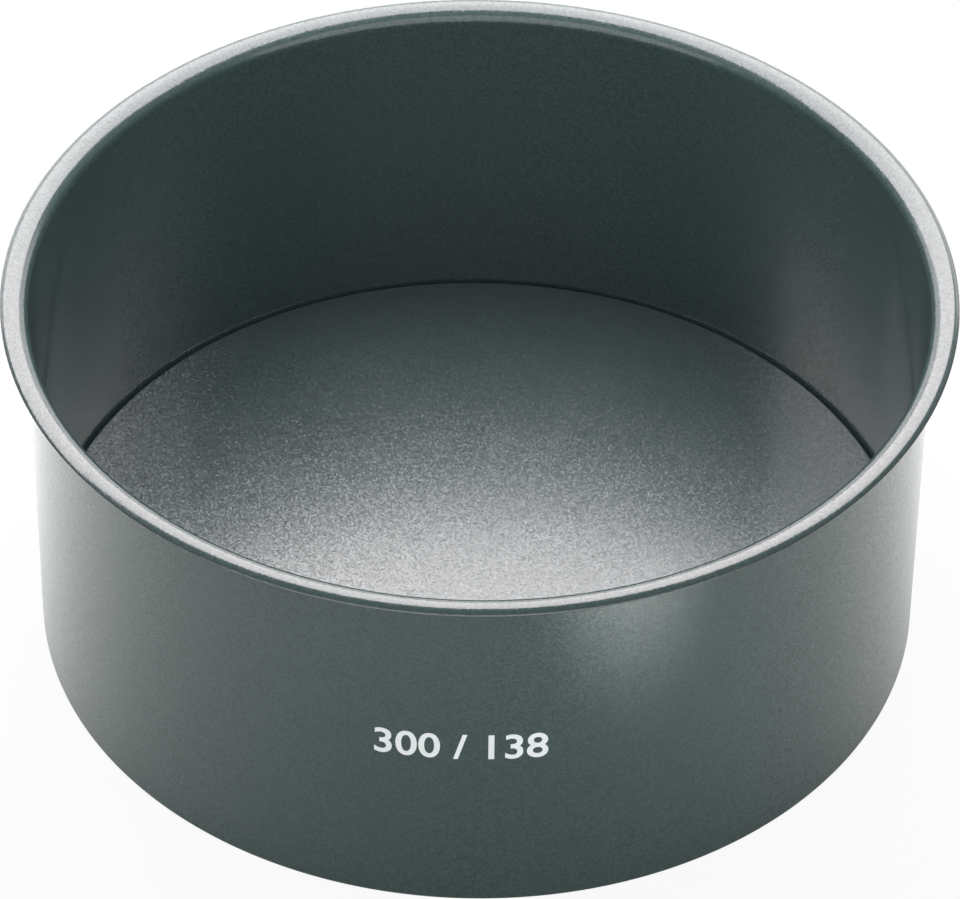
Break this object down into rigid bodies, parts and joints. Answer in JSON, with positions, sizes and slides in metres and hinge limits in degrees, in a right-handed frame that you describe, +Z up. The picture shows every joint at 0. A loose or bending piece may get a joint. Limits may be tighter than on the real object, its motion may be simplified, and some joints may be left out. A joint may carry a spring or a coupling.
{
  "type": "loose-bottom cake pan",
  "caption": "Deep round cake pan with a turned-out rim, straight wall and inturned ledge, and a loose base that stands on the ledge and lifts out upward with the cake.",
  "frame": {"origin": "middle of the plane that the pan stands on, on the pan's axis", "axes": "+Z up along the pan's axis, the way the base lifts out; -Y towards the viewer of the picture"},
  "size_m": [0.3206, 0.3206, 0.1384],
  "materials": {
    "ring_coating": "satin grey non-stick coating with fine metallic flake on sheet steel",
    "base_coating": "satin grey non-stick coating with fine metallic flake on sheet steel"
  },
  "bodies": {
    "ring": {"side_wall": "ring_coating"},
    "base": {"loose_base": "base_coating"}
  },
  "joints": [
    {"name": "base_lift", "type": "slide", "parent": "ring", "child": "base", "axis": [0, 0, 1], "range_m": [0, 0.145]}
  ]
}
